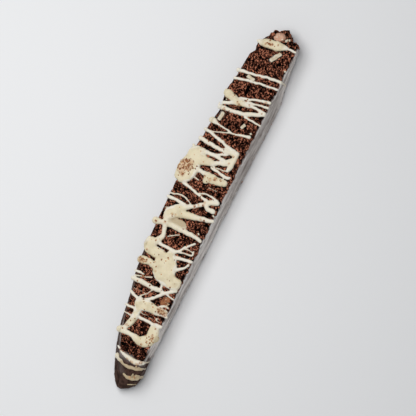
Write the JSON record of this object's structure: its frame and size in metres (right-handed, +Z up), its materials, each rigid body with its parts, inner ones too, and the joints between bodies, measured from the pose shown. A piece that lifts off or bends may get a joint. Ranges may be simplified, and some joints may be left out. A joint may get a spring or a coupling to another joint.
{
  "type": "biscotti",
  "caption": "Long chocolate biscotti slice with a rounded heel, a broken end, almond pieces and a white chocolate drizzle on its cut face.",
  "frame": {"origin": "middle of the underside, the cut face that the slice lies on", "axes": "+X along the slice from the rounded heel to the broken end, +Y from the flat base crust to the domed crust, +Z up out of the drizzled cut face"},
  "size_m": [0.2, 0.0308, 0.0179],
  "materials": {
    "baked_dough": "matte",
    "white_chocolate": "satin",
    "blanched_almond": "satin",
    "almond_skin": "matte"
  },
  "bodies": {
    "root": {"biscuit": "baked_dough", "almond_chunk": "blanched_almond", "almond_in_skin": "almond_skin", "almond_splinter_end": "blanched_almond", "almond_splinter_middle": "blanched_almond", "almond_splinter_dome": "blanched_almond", "pool_heel": "white_chocolate", "pool_cross": "white_chocolate", "pool_great": "white_chocolate", "pool_band": "white_chocolate", "pool_corner": "white_chocolate", "pool_dome": "white_chocolate", "pool_bar": "white_chocolate", "pool_base": "white_chocolate", "pool_streak": "white_chocolate", "pool_knot": "white_chocolate", "pool_end": "white_chocolate"}
  },
  "joints": []
}
